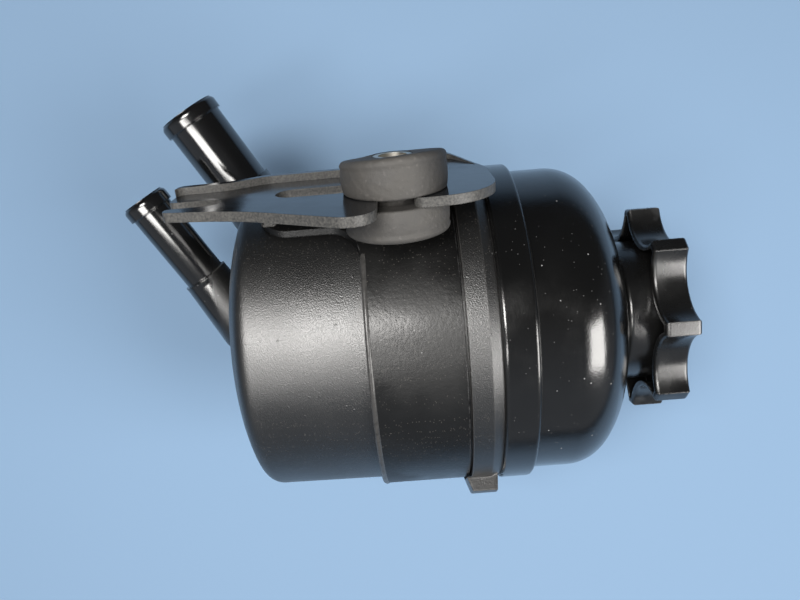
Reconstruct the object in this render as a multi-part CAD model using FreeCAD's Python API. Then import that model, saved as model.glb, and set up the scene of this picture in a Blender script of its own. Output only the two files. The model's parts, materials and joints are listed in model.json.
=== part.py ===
"""Power steering reservoir in its clamp band, with bracket plate, filter element and screw cap.

Lengths are in millimetres. The model is laid out about the reservoir's own axis, which is Z, with
z = 0 at the underside of the can's flange, +Z towards the cap and the bracket plate on the -X side.
Each piece is written relative to the centre of the grommet's bore at the outer face of the plate.
"""
import FreeCAD
import Part
import math
import os

from FreeCAD import Vector

# Lower can
can_r = 44.0
can_depth = 61.2
wall = 3.0
can_draft = 0.6
can_shoulder_r = 20.0
can_shoulder_h = 8.0
can_inner_knuckle = 1.2
flange_step = 2.5
flange_h = 5.3
seam_step = 1.2
seam_z = 8.1
ledge_z = 3.0
ledge_w = 1.0
lug_reach = 3.7
lug_root_inset = 0.3
lug_drop = 1.4
lug_angle = -30.0
lug_half_angle = 17.0
lug_h = 7.4
lug_slope = 1.4

# Hose stubs of the can: small return stub and large suction stub
stub_slope = 29.0
bead_step = 0.75
bead_length = 4.0
bead_round = 1.6
collar_step = 0.8
collar_length = 1.8
return_r = 6.0
return_bore_r = 4.2
return_length = 29.6
return_y = 3.0
return_collar_x = -19.0
return_drop = 11.8
return_boss_r = 8.0
return_port_x = -3.0
suction_r = 8.3
suction_bore_r = 6.3
suction_length = 28.3
suction_y = 18.0
suction_inset = 2.1
suction_rise = 0.2
suction_boss_r = 10.0
suction_reach = 17.0

# Upper shell, whose dome is in line with the can's side
rim_step = 2.2
rim_h = 8.8
rim_round = 1.0
dome_straight = 10.9
dome_shoulder_r = 21.0
dome_shoulder_h = 16.0
dome_knuckle_share = 0.81
dome_rise = 1.2
spigot_wall = 2.4
spigot_slope = 1.5
neck_r = 17.9
neck_wall = 2.2
neck_h = 11.9
neck_foot_round = 1.2
fit_gap = 0.1

# Screw cap
lobe_count = 8
cap_clocking = -12.0
lobe_reach = 6.4
crown_h = 9.4
lobe_width = 3.8
lobe_round = 1.0
lobe_wall = 1.8
valley_step = 3.0
skirt_wall = 1.7
skirt_round = 1.2
cap_base_gap = 1.0
cap_thread_gap = 1.0
cap_roof_t = 3.0
cap_dish_step = 5.6
cap_dish_depth = 1.0
cap_button_r = 9.0
seal_t = 2.0
seal_w = 2.0
seal_gap = 0.3
plug_wall = 1.4
plug_depth = 4.0
plug_gap = 0.5
vent_hole_r = 1.1
vent_hole_ring_r = 5.0
vent_hole_count = 4
vent_r = 6.6
vent_t = 0.9
vent_stem_gap = 0.15
dipstick_w = 5.0
dipstick_t = 1.8
dipstick_length = 52.0
dipstick_hub_r = 3.2
dipstick_hub_h = 4.0
dipstick_notch = 0.8

# Filter element, spring and baffle
seat_r = 19.0
seat_wall = 2.2
seat_h = 5.0
filter_seal_t = 1.5
filter_side_gap = 10.0
filter_cap_t = 1.6
filter_lip_h = 3.0
filter_lip_t = 1.2
filter_spigot_gap = 0.3
filter_spigot_wall = 1.4
filter_spigot_h = 3.2
core_r = 17.0
core_wall = 1.2
core_window_w = 6.0
core_window_rows = 4
core_window_share = 0.7
core_windows_round = 10
pleat_count = 36
pleat_gap = 0.4
paper_t = 0.6
spring_length = 22.5
spring_r = 12.0
spring_wire_r = 0.9
spring_turns = 5
spring_cup_h = 2.0
spring_cup_gap = 0.2
baffle_t = 2.0
baffle_hole_r = 5.0
baffle_hole_inset = 11.0
baffle_hole_count = 9
baffle_centre_r = 6.0

# Clamp band
band_t = 1.5
band_width = 23.8
band_flange_gap = 0.6
band_gap = 0.05
saddle_length = 26.0
saddle_half_angle = 31.0
saddle_round = 8.0
ear_angle = 80.0
ear_gap = 8.0
ear_length = 17.0
ear_round = 5.0
screw_r = 3.0
screw_hole_r = 3.3
screw_reach = 9.5

# Rubber grommet and its sleeve; the lower disc clears the band by a named gap
grommet_r = 12.3
grommet_core_r = 6.3
grommet_seat_gap = 0.1
grommet_upper_t = 7.8
grommet_lower_t = 7.6
grommet_round = 2.0
grommet_band_gap = 0.3
grommet_drop = 14.4
sleeve_r = 4.5
sleeve_bore_r = 3.25
sleeve_gap = 0.05

# Bracket plate; its places are (y, z) distances from the grommet's centre
plate_t = 2.3
plate_standoff = 1.85
slot_half_width = 4.1
slot_depth = 26.5
slot_round = 5.5
slot_lip = 11.3
slot_lip_round = 2.5
fork_y = 1.4
fork_half_width = 3.0
fork_depth = 13.4
fork_end_z = -54.3
fork_tine_z = -52.8
fork_tine_w = 3.1
fork_mouth_flare = 0.8
flank_bend = (-8.7, -35.6)
near_right_corner = (-9.5, 23.3)
far_right_corner = (19.9, 23.3)
far_tip = (39.9, 13.4)
far_waist = (21.9, -9.6)
far_flank = (20.9, -33.1)
far_neck = (15.9, -42.1)
far_tine = (14.9, -54.3)
hem_w = 2.3
hem_h = 1.9
hem_end_z = 21.2
hem_ramp = 9.0
hem_side_y = 9.9
web_t = 2.3
web_near_y = 11.9
web_length = 16.0
web_saddle_inset = 1.9
web_band_step = 4.2
web_top_inset = 3.0
oval_y = 4.6
oval_r = 4.4
oval_left_z = -24.1
oval_right_z = -13.6

# Clamp screw set
head_across = 10.0
head_h = 4.0
hexagon_chamfer = 0.3
washer_r = 6.0
washer_t = 1.4
washer_hole_gap = 0.2
nut_flange_r = 6.8
nut_flange_t = 1.4
nut_h = 6.0
thread_gap = 0.05
screw_tail = 3.5

# Radii and heights that follow from the values above
can_end_r = can_r - can_draft
bore_r = can_r - wall
can_bottom = -can_depth
inner_bottom = can_bottom + wall
can_knuckle_r = can_inner_knuckle + wall
flange_r = can_r + flange_step
seam_r = can_r + seam_step
lug_root_r = flange_r - lug_root_inset
lug_r = flange_r + lug_reach
return_collar_z = can_bottom - return_drop
suction_collar_x = -can_r + suction_inset
suction_collar_z = can_bottom + suction_rise
rim_r = can_r + rim_step
rim_top = seam_z + rim_h
dome_knuckle_r = dome_knuckle_share * dome_shoulder_h
shoulder_top = rim_top + dome_straight + dome_shoulder_h
dome_top = shoulder_top + dome_rise
neck_top = dome_top + neck_h
neck_bore_r = neck_r - neck_wall
skirt_r = neck_r + cap_thread_gap + skirt_wall
crown_valley_r = skirt_r + valley_step
crown_r = crown_valley_r + lobe_reach
cap_dish_r = crown_valley_r - cap_dish_step
skirt_bottom = dome_top + cap_base_gap
cap_roof = neck_top + seal_t
cap_top = cap_roof + cap_roof_t
crown_bottom = cap_top - crown_h
plug_r = neck_bore_r - plug_gap
filter_r = bore_r - filter_side_gap
seat_top = inner_bottom + seat_h
filter_bottom = seat_top + filter_seal_t
media_bottom = filter_bottom + filter_cap_t
filter_top_z = ledge_z - spring_length
media_top = filter_top_z - filter_cap_t
media_h = media_top - media_bottom
baffle_r = bore_r + ledge_w - fit_gap
baffle_hole_ring_r = bore_r - baffle_hole_inset
baffle_top = ledge_z + baffle_t
band_inner_r = can_r + band_gap
band_r = band_inner_r + band_t
band_top = -band_flange_gap
band_bottom = band_top - band_width
saddle_low = band_bottom - saddle_length
plate_under_x = -band_r - plate_standoff
plate_x = plate_under_x - plate_t
round_x = plate_under_x + grommet_lower_t - grommet_round
round_y = -math.sqrt((band_r + grommet_band_gap + grommet_round) ** 2 - round_x ** 2)
grommet_y = round_y - grommet_r + grommet_round
grommet_z = -grommet_drop
mount = Vector(plate_x, grommet_y, grommet_z)


def turned(edges):
    """Solid of revolution about Z of a closed profile in the XZ plane."""
    face = Part.Face(Part.Wire(edges))
    return face.revolve(Vector(0, 0, 0), Vector(0, 0, 1), 360)


def profile(points):
    """Edges of a closed polygon of (radius, height) points in the XZ plane."""
    corners = [Vector(r, 0, z) for r, z in points]
    corners.append(corners[0])
    return Part.makePolygon(corners).Edges


def ring(outer, inner, low, high):
    """Plain ring, tube or disc about Z."""
    body = Part.makeCylinder(outer, high - low, Vector(0, 0, low))
    if inner > 0:
        body = body.cut(Part.makeCylinder(inner, high - low, Vector(0, 0, low)))
    return body


def shoulder(end_r, start_z, half_r, half_z, knuckle_r, sign):
    """Two tangent arcs in the XZ plane: a knuckle that leaves the side and a flatter crown towards the axis."""
    crown_r = (half_r ** 2 + half_z ** 2 - 2 * half_r * knuckle_r) / (2 * (half_z - knuckle_r))
    knuckle = Vector(end_r + half_r - knuckle_r, 0, start_z)
    crown = Vector(end_r, 0, start_z + sign * (half_z - crown_r))
    outward = (knuckle - crown).normalize()
    join = crown + outward * crown_r
    knuckle_middle = knuckle + (outward + Vector(1, 0, 0)).normalize() * knuckle_r
    crown_middle = crown + (outward + Vector(0, 0, sign)).normalize() * crown_r
    return [
        Part.Arc(Vector(end_r + half_r, 0, start_z), knuckle_middle, join).toShape(),
        Part.Arc(join, crown_middle, Vector(end_r, 0, start_z + sign * half_z)).toShape(),
    ]


def line(start, end):
    """Straight edge between two (radius, height) points of the XZ plane."""
    return Part.makeLine(Vector(start[0], 0, start[1]), Vector(end[0], 0, end[1]))


def rounded_wire(corners):
    """Closed wire through (point, radius) corners, each rounded by a tangent arc of its radius."""
    starts = []
    ends = []
    arcs = []
    count = len(corners)
    for i, (corner, radius) in enumerate(corners):
        before = (corners[i - 1][0] - corner).normalize()
        after = (corners[(i + 1) % count][0] - corner).normalize()
        half = before.getAngle(after) / 2
        if radius <= 0 or half > math.radians(89.5):
            starts.append(corner)
            ends.append(corner)
            arcs.append(None)
            continue
        reach = radius / math.tan(half)
        bisector = (before + after).normalize()
        middle = corner + bisector * (radius / math.sin(half) - radius)
        starts.append(corner + before * reach)
        ends.append(corner + after * reach)
        arcs.append(Part.Arc(starts[-1], middle, ends[-1]).toShape())
    edges = []
    for i in range(count):
        if arcs[i]:
            edges.append(arcs[i])
        following = starts[(i + 1) % count]
        if ends[i].distanceToPoint(following) > 1e-6:
            edges.append(Part.makeLine(ends[i], following))
    return Part.Wire(edges)


def stub_direction():
    """Unit vector along both hose stubs, from the can to their tips."""
    slope = math.radians(stub_slope)
    return Vector(-math.cos(slope), 0, -math.sin(slope))


def hose_stub(collar, radius, length, boss_r, boss_reach):
    """Hose stub with rounded end bead, stop collar and tapered boss that runs back into the can."""
    outward = stub_direction()
    bead_r = radius + bead_step
    collar_r = radius + collar_step
    tube = Part.makeCylinder(radius, length, collar, outward)
    bead = Part.makeCylinder(bead_r, bead_length, collar + outward * (length - bead_length), outward)
    tip = [edge for edge in bead.Edges if edge.Closed]
    tip.sort(key=lambda edge: edge.CenterOfMass.distanceToPoint(collar))
    bead = bead.makeFillet(bead_round, [tip[-1]])
    stop = Part.makeCylinder(collar_r, collar_length, collar, outward)
    boss = Part.makeCone(collar_r, boss_r, boss_reach, collar, outward * -1)
    return tube.fuse([bead, stop, boss])


def make_lower_can():
    """Moulded can with flange, lug, seat for the filter, and both hose stubs."""
    side_end = can_bottom + can_shoulder_h
    flat_r = can_end_r - can_shoulder_r
    outer = turned(Part.__sortEdges__([
        line((0, can_bottom), (flat_r, can_bottom)),
        *shoulder(flat_r, side_end, can_shoulder_r, can_shoulder_h, can_knuckle_r, -1),
        line((can_end_r, side_end), (can_r, 0)),
        line((can_r, 0), (flange_r, 0)),
        line((flange_r, 0), (flange_r, flange_h)),
        line((flange_r, flange_h), (seam_r, seam_z)),
        line((seam_r, seam_z), (0, seam_z)),
        line((0, seam_z), (0, can_bottom)),
    ]))
    return_collar = Vector(return_collar_x, return_y, return_collar_z)
    suction_collar = Vector(suction_collar_x, suction_y, suction_collar_z)
    inward = stub_direction() * -1
    return_reach = (return_port_x - return_collar_x) / inward.x
    return_stub = hose_stub(return_collar, return_r, return_length, return_boss_r, return_reach)
    port_end = return_collar + inward * return_reach
    return_end = Part.makeSphere(return_boss_r, port_end)
    suction_stub = hose_stub(suction_collar, suction_r, suction_length, suction_boss_r, suction_reach)
    body = outer.fuse([return_stub, return_end, suction_stub, make_lug()])

    inner_knuckle = shoulder(flat_r, side_end, can_shoulder_r - wall, can_shoulder_h - wall, can_inner_knuckle, -1)
    cavity = turned(Part.__sortEdges__([
        line((0, inner_bottom), (flat_r, inner_bottom)),
        *inner_knuckle,
        line((can_end_r - wall, side_end), (bore_r, 0)),
        line((bore_r, 0), (bore_r, ledge_z)),
        line((bore_r, ledge_z), (bore_r + ledge_w, ledge_z)),
        line((bore_r + ledge_w, ledge_z), (bore_r + ledge_w, seam_z)),
        line((bore_r + ledge_w, seam_z), (0, seam_z)),
        line((0, seam_z), (0, inner_bottom)),
    ]))
    seat = ring(seat_r, seat_r - seat_wall, inner_bottom - 0.5 * wall, seat_top)
    body = body.cut(cavity).fuse(seat)

    tip = return_collar - inward * return_length
    return_bore = Part.makeCylinder(return_bore_r, return_length + return_reach, tip, inward)
    port = Part.makeCylinder(return_bore_r, inner_bottom - port_end.z, port_end)
    port = port.fuse(Part.makeSphere(return_bore_r, port_end))
    suction_tip = suction_collar - inward * suction_length
    suction_bore = Part.makeCylinder(suction_bore_r, suction_length + suction_reach, suction_tip, inward)
    return body.cut(return_bore).cut(port).cut(suction_bore)


def make_lug():
    """Moulded lug that stands out of one side of the flange, with sloping flanks and a lip below the flange."""
    section = Part.Face(Part.Wire(profile([
        (can_r, 0),
        (lug_root_r, 0),
        (lug_root_r, -lug_drop),
        (lug_r, lug_slope - lug_drop),
        (lug_r, lug_h - lug_slope / 2),
        (can_r, lug_h),
    ])))
    section.rotate(Vector(0, 0, 0), Vector(0, 0, 1), lug_angle - lug_half_angle)
    return section.revolve(Vector(0, 0, 0), Vector(0, 0, 1), 2 * lug_half_angle)


def make_upper_shell():
    """Upper shell with weld rim, domed shoulder and filler neck."""
    dome_end = rim_top + dome_straight
    spigot_r = bore_r + ledge_w - fit_gap
    spigot_inner = spigot_r - spigot_wall
    shoulder_end = can_r - dome_shoulder_r
    neck_foot = neck_r + neck_foot_round
    outer_edges = [
        line((spigot_inner, baffle_top), (spigot_r, baffle_top)),
        line((spigot_r, baffle_top), (spigot_r, seam_z)),
        line((spigot_r, seam_z), (rim_r, seam_z)),
        line((rim_r, seam_z), (rim_r, rim_top)),
        line((rim_r, rim_top), (can_r, rim_top)),
        line((can_r, rim_top), (can_r, dome_end)),
        *shoulder(shoulder_end, dome_end, dome_shoulder_r, dome_shoulder_h, dome_knuckle_r, 1),
        line((shoulder_end, shoulder_top), (neck_foot, dome_top)),
        line((neck_foot, dome_top), (neck_r, dome_top + neck_foot_round)),
        line((neck_r, dome_top + neck_foot_round), (neck_r, neck_top)),
        line((neck_r, neck_top), (neck_bore_r, neck_top)),
        line((neck_bore_r, neck_top), (neck_bore_r, dome_top - wall)),
        line((neck_bore_r, dome_top - wall), (shoulder_end, shoulder_top - wall)),
    ]
    spigot_root = seam_z + spigot_slope
    inner_edges = [
        *shoulder(shoulder_end, dome_end, dome_shoulder_r - wall, dome_shoulder_h - wall,
                  dome_knuckle_r - wall, 1),
        line((bore_r, dome_end), (bore_r, spigot_root + bore_r - spigot_inner)),
        line((bore_r, spigot_root + bore_r - spigot_inner), (spigot_inner, spigot_root)),
        line((spigot_inner, spigot_root), (spigot_inner, baffle_top)),
    ]
    shell = turned(Part.__sortEdges__(outer_edges + inner_edges))
    rims = [edge for edge in shell.Edges
            if edge.Closed and abs(edge.BoundBox.XMax - rim_r) < 0.01 and edge.BoundBox.ZLength < 0.01]
    return shell.makeFillet(rim_round, rims)


def lobed_face(outer_r, valley_r, tip_width, z):
    """Flat face with lobes on a circle and one round scallop between each two of them."""
    tip = tip_width / 2 / outer_r
    pitch = 2 * math.pi / lobe_count
    edges = []
    for i in range(lobe_count):
        angle = math.radians(cap_clocking) + i * pitch
        points = []
        for radius, turn in ((outer_r, -tip), (outer_r, 0), (outer_r, tip),
                             (valley_r, pitch / 2), (outer_r, pitch - tip)):
            points.append(Vector(radius * math.cos(angle + turn), radius * math.sin(angle + turn), z))
        edges.append(Part.Arc(points[0], points[1], points[2]).toShape())
        edges.append(Part.Arc(points[2], points[3], points[4]).toShape())
    return Part.Face(Part.Wire(edges))


def make_cap_shell():
    """Screw cap: crown with eight grip lobes, hollow from below, over a round skirt."""
    crown = lobed_face(crown_r, crown_valley_r, lobe_width, crown_bottom).extrude(Vector(0, 0, crown_h))
    rims = [edge for edge in crown.Edges if edge.BoundBox.ZLength < 0.01]
    crown = crown.makeFillet(lobe_round, rims)
    hollow = lobed_face(crown_r - lobe_wall, crown_valley_r - lobe_wall, lobe_width - lobe_wall, crown_bottom)
    hollow = hollow.extrude(Vector(0, 0, cap_roof - crown_bottom))
    hollow = hollow.cut(ring(skirt_r, 0, crown_bottom, cap_top))
    skirt = ring(skirt_r, 0, skirt_bottom, cap_roof)
    lower = [edge for edge in skirt.Edges if edge.Closed and edge.BoundBox.ZMax < skirt_bottom + 0.01]
    skirt = skirt.makeFillet(skirt_round, lower)
    socket = ring(neck_r + cap_thread_gap, 0, skirt_bottom, cap_roof)
    dish = ring(cap_dish_r, cap_button_r, cap_top - cap_dish_depth, cap_top)
    return crown.cut(hollow).fuse(skirt).cut([socket, dish]).removeSplitter()


def make_cap_plug():
    """Cup-shaped plug under the cap's roof, with vent holes and a hole for the dipstick's hub."""
    low = cap_roof - plug_depth
    cup = turned(profile([
        (0, low),
        (plug_r, low),
        (plug_r, cap_roof),
        (plug_r - plug_wall, cap_roof),
        (plug_r - plug_wall, low + plug_wall),
        (0, low + plug_wall),
    ]))
    holes = [Part.makeCylinder(dipstick_hub_r + vent_stem_gap, plug_wall, Vector(0, 0, low))]
    for i in range(vent_hole_count):
        angle = math.radians(i * 360 / vent_hole_count)
        place = Vector(vent_hole_ring_r * math.cos(angle), vent_hole_ring_r * math.sin(angle), low)
        holes.append(Part.makeCylinder(vent_hole_r, plug_wall, place))
    return cup.cut(holes)


def make_vent_valve():
    """Thin rubber disc that lies over the plug's vent holes, round the dipstick's hub."""
    low = cap_roof - plug_depth + plug_wall
    return ring(vent_r, dipstick_hub_r + vent_stem_gap, low, low + vent_t)


def make_dipstick():
    """Level blade with notched edges, on a round hub with a head above and a shoulder below the plug."""
    plug_low = cap_roof - plug_depth
    hub_low = plug_low - dipstick_hub_h
    hub = Part.makeCylinder(dipstick_hub_r, cap_roof - hub_low, Vector(0, 0, hub_low))
    shoulder = Part.makeCylinder(dipstick_hub_r + plug_wall, dipstick_hub_h, Vector(0, 0, hub_low))
    blade_low = hub_low - dipstick_length
    corner = Vector(-dipstick_w / 2, -dipstick_t / 2, blade_low)
    blade = Part.makeBox(dipstick_w, dipstick_t, dipstick_length + 1, corner)
    lower = [edge for edge in blade.Edges if edge.BoundBox.YLength > dipstick_t - 0.01
             and edge.BoundBox.ZMax < blade_low + 0.01]
    blade = blade.makeFillet(dipstick_w / 2 - 0.1, lower)
    notches = []
    for side in (-1, 1):
        for share in (0.12, 0.30):
            centre = Vector(side * dipstick_w / 2, -dipstick_t, blade_low + share * dipstick_length)
            notches.append(Part.makeCylinder(dipstick_notch, 2 * dipstick_t, centre, Vector(0, 1, 0)))
    return hub.fuse([shoulder, blade]).cut(notches)


def make_cap_seal():
    """Flat gasket between the neck's lip and the cap's roof."""
    return ring(neck_bore_r + seal_w, plug_r + seal_gap, neck_top, cap_roof)


def make_filter_base():
    """Lower end cap of the filter element: cup with a spigot that drops into the can's seat."""
    spigot_r = seat_r - seat_wall - filter_spigot_gap
    spigot_low = filter_bottom - filter_spigot_h
    return turned(profile([
        (spigot_r - filter_spigot_wall, spigot_low),
        (spigot_r, spigot_low),
        (spigot_r, filter_bottom),
        (filter_r + filter_lip_t, filter_bottom),
        (filter_r + filter_lip_t, media_bottom + filter_lip_h),
        (filter_r, media_bottom + filter_lip_h),
        (filter_r, media_bottom),
        (spigot_r - filter_spigot_wall, media_bottom),
    ]))


def make_filter_top():
    """Upper end cap of the filter element, closed, with a ring that centres the spring."""
    cup_r = spring_r - spring_wire_r - spring_cup_gap
    return turned(profile([
        (0, media_top),
        (filter_r, media_top),
        (filter_r, media_top - filter_lip_h),
        (filter_r + filter_lip_t, media_top - filter_lip_h),
        (filter_r + filter_lip_t, filter_top_z),
        (cup_r, filter_top_z),
        (cup_r, filter_top_z + spring_cup_h),
        (cup_r - filter_lip_t, filter_top_z + spring_cup_h),
        (cup_r - filter_lip_t, filter_top_z),
        (0, filter_top_z),
    ]))


def make_filter_core():
    """Inner cage of the filter element: a moulded tube with rows of windows between ribs."""
    tube = ring(core_r, core_r - core_wall, media_bottom, media_top)
    pitch = media_h / core_window_rows
    height = core_window_share * pitch
    windows = []
    for row in range(core_window_rows):
        low = media_bottom + (row + 0.5) * pitch - height / 2
        for i in range(core_windows_round):
            window = Part.makeBox(core_r, core_window_w, height, Vector(core_r / 2, -core_window_w / 2, low))
            window.rotate(Vector(0, 0, 0), Vector(0, 0, 1), i * 360 / core_windows_round)
            windows.append(window)
    return tube.cut(windows)


def make_filter_media():
    """Pleated filter medium: a zigzag wall of even thickness folded round the core."""
    outer_r = filter_r - pleat_gap
    inner_r = core_r + pleat_gap
    step = math.pi / pleat_count
    fold = paper_t / math.sin(math.atan((outer_r + inner_r) / 2 * step / (outer_r - inner_r)))
    faces = []
    for tip_r, root_r in ((outer_r, inner_r + fold), (outer_r - fold, inner_r)):
        points = []
        for i in range(2 * pleat_count):
            radius = tip_r if i % 2 == 0 else root_r
            points.append(Vector(radius * math.cos(i * step), radius * math.sin(i * step), media_bottom))
        points.append(points[0])
        faces.append(Part.Face(Part.makePolygon(points)))
    return faces[0].cut(faces[1]).extrude(Vector(0, 0, media_h)).Solids[0]


def make_filter_seal():
    """Flat sealing ring between the can's seat and the filter element."""
    return ring(seat_r, seat_r - seat_wall, seat_top, filter_bottom)


def make_filter_spring():
    """Coil spring between filter element and baffle, with flat and rising half turns one after the other."""
    low = filter_top_z + spring_wire_r
    high = ledge_z - spring_wire_r
    pitch = (high - low) / spring_turns
    rising_axis = Vector(-pitch, 0, 2 * spring_r)
    halves = [half_turn(spring_r, high, Vector(0, 0, high), Vector(0, 0, 1))]
    for turn in range(spring_turns):
        z = low + turn * pitch
        halves.append(half_turn(spring_r, z, Vector(0, 0, z), Vector(0, 0, 1)))
        halves.append(half_turn(-spring_r, z, Vector(0, 0, z + pitch / 2), rising_axis))
    return halves[0].fuse(halves[1:])


def half_turn(x, z, centre, axis):
    """Half a turn of the spring's wire about an axis, from a point of the XZ plane."""
    section = Part.Face(Part.Wire(Part.makeCircle(spring_wire_r, Vector(x, 0, z), Vector(0, 1, 0))))
    return section.revolve(centre, axis, 180)


def make_baffle():
    """Perforated plate on the can's inner ledge, which carries the spring's upper end."""
    plate = ring(baffle_r, baffle_centre_r, ledge_z, baffle_top)
    holes = []
    for i in range(baffle_hole_count):
        angle = math.radians(i * 360 / baffle_hole_count)
        place = Vector(baffle_hole_ring_r * math.cos(angle), baffle_hole_ring_r * math.sin(angle), ledge_z)
        holes.append(Part.makeCylinder(baffle_hole_r, baffle_t, place))
    return plate.cut(holes)


def saddle_blank():
    """Sector of the band's tube that reaches past the band's lower edge under the bracket plate."""
    tube = ring(band_r, band_inner_r, saddle_low, band_bottom + saddle_round)
    half_width = band_r * math.sin(math.radians(saddle_half_angle))
    flare = half_width + 2 * saddle_round
    corners = [
        (Vector(0, -half_width, saddle_low), saddle_round),
        (Vector(0, -half_width, band_bottom), saddle_round),
        (Vector(0, -flare, band_bottom), 0),
        (Vector(0, -flare, band_bottom + saddle_round), 0),
        (Vector(0, flare, band_bottom + saddle_round), 0),
        (Vector(0, flare, band_bottom), 0),
        (Vector(0, half_width, band_bottom), saddle_round),
        (Vector(0, half_width, saddle_low), saddle_round),
    ]
    window = Part.Face(rounded_wire(corners)).extrude(Vector(-band_r - 1, 0, 0))
    return tube.common(window)


def make_clamp_band():
    """Open band round the can with a saddle under the bracket and two ears for the clamp screw."""
    band = ring(band_r, band_inner_r, band_bottom, band_top)
    side = 2 * band_t + ear_gap
    gap = Part.makeBox(2 * band_r, ear_gap, band_width, Vector(0, -ear_gap / 2, band_bottom))
    block = Part.makeBox(ear_length + 2 * band_t, side, band_width,
                         Vector(band_r - 2 * band_t, -side / 2, band_bottom))
    tips = [edge for edge in block.Edges if edge.BoundBox.YLength > side - 0.01
            and edge.BoundBox.XMin > band_r + ear_length - band_t]
    block = block.makeFillet(ear_round, tips)
    hole = Part.makeCylinder(screw_hole_r, side + 2, screw_centre() - Vector(0, side / 2 + 1, 0), Vector(0, 1, 0))
    core = Part.makeCylinder(band_inner_r, band_width, Vector(0, 0, band_bottom))
    band = band.fuse(block).cut([gap, core, hole])
    band.rotate(Vector(0, 0, 0), Vector(0, 0, 1), ear_angle)
    return band.fuse(saddle_blank()).removeSplitter()


def screw_centre():
    """Centre of the clamp screw between the ears, before the ears are turned to their place."""
    return Vector(band_r + screw_reach, 0, (band_top + band_bottom) / 2)


def hexagon(across, height):
    """Hexagonal prism along Y from the origin, with its corners chamfered at the outer end."""
    radius = across / math.sqrt(3)
    corners = [Vector(radius * math.cos(math.radians(60 * i)), 0, radius * math.sin(math.radians(60 * i)))
               for i in range(7)]
    prism = Part.Face(Part.makePolygon(corners)).extrude(Vector(0, height, 0))
    tip_r = across / 2 - hexagon_chamfer
    chamfer = Part.makeCone(radius + height, tip_r, height, Vector(0, 0, 0), Vector(0, 1, 0))
    return prism.common(chamfer)


def turned_to_ears(shape):
    """Moves a piece of the screw set from beside the X axis to the ears."""
    shape.rotate(Vector(0, 0, 0), Vector(0, 0, 1), ear_angle)
    return shape


def make_clamp_washer():
    """Washer between the screw's head and the ear."""
    face = screw_centre() + Vector(0, ear_gap / 2 + band_t, 0)
    disc = Part.makeCylinder(washer_r, washer_t, face, Vector(0, 1, 0))
    hole = Part.makeCylinder(screw_r + washer_hole_gap, washer_t, face, Vector(0, 1, 0))
    return turned_to_ears(disc.cut(hole))


def make_clamp_screw():
    """Hexagon screw through both ears."""
    under_head = screw_centre() + Vector(0, ear_gap / 2 + band_t + washer_t, 0)
    tail = screw_centre().y - ear_gap / 2 - band_t - nut_h - screw_tail
    length = under_head.y - tail
    shank = Part.makeCylinder(screw_r, length, under_head, Vector(0, -1, 0))
    head = hexagon(head_across, head_h)
    head.translate(under_head)
    return turned_to_ears(head.fuse(shank))


def make_clamp_nut():
    """Hexagon nut with a flange against the other ear."""
    face = screw_centre() - Vector(0, ear_gap / 2 + band_t, 0)
    body = hexagon(head_across, nut_h)
    body.rotate(Vector(0, 0, 0), Vector(1, 0, 0), 180)
    flange = Part.makeCylinder(nut_flange_r, nut_flange_t, Vector(0, 0, 0), Vector(0, -1, 0))
    hole = Part.makeCylinder(screw_r + thread_gap, nut_h, Vector(0, 0, 0), Vector(0, -1, 0))
    nut = body.fuse(flange).cut(hole)
    nut.translate(face)
    return turned_to_ears(nut)


def plate_outline():
    """Rounded outline of the bracket plate in the plane of its underside."""
    fork_near = fork_y - fork_half_width
    fork_far = fork_y + fork_half_width
    fork_foot = fork_end_z + fork_depth
    near_mouth = fork_near - fork_mouth_flare
    corners = [
        ((near_mouth - fork_tine_w, fork_tine_z), 1.3),
        (flank_bend, 60.0),
        ((-slot_depth, -slot_half_width), slot_round),
        ((0, -slot_half_width), 0),
        ((0, slot_half_width), 0),
        ((-slot_lip, slot_half_width), slot_lip_round),
        (near_right_corner, 13.0),
        (far_right_corner, 25.0),
        (far_tip, 5.0),
        (far_waist, 15.0),
        (far_flank, 10.0),
        (far_neck, 10.0),
        (far_tine, 2.0),
        ((fork_far, fork_end_z), 1.5),
        ((fork_far, fork_foot), 0.98 * fork_half_width),
        ((fork_near, fork_foot), 0.98 * fork_half_width),
        ((near_mouth, fork_tine_z), 0.8),
    ]
    return rounded_wire([(on_plate(y, z), radius) for (y, z), radius in corners])


def make_bracket_plate():
    """Stamped plate with fork, grommet slot, oval hole, raised far edge and three welded webs."""
    outline = Part.Face(plate_outline())
    across = Vector(-plate_t, 0, 0)
    plate = outline.extrude(across).fuse(make_hem(outline))
    seat = Part.makeCylinder(grommet_core_r + grommet_seat_gap, 2 * plate_t, on_plate(0, 0) - across / 2, across)
    oval_low = oval_left_z - oval_r
    oval_high = oval_right_z + oval_r
    oval = rounded_wire([(on_plate(y, z), 0.99 * oval_r) for y, z in (
        (oval_y - oval_r, oval_low),
        (oval_y - oval_r, oval_high),
        (oval_y + oval_r, oval_high),
        (oval_y + oval_r, oval_low),
    )])
    plate = plate.cut([seat, Part.Face(oval).extrude(across)])
    under_plate = outline.extrude(Vector(band_r / 2, 0, 0))
    band_space = Part.makeCylinder(band_r, 2 * can_depth, Vector(0, 0, -1.5 * can_depth))
    webs = []
    for z in (saddle_low + web_saddle_inset, band_bottom - web_band_step, band_top - web_top_inset):
        corner = Vector(plate_under_x, grommet_y + web_near_y, z)
        block = Part.makeBox(band_r, web_length, web_t, corner)
        webs.append(block.common(under_plate).cut(band_space))
    return plate.fuse(webs).removeSplitter()


def on_plate(y, z):
    """Point of the plate's underside at a distance from the grommet's centre."""
    return Vector(plate_under_x, grommet_y + y, grommet_z + z)


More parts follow.
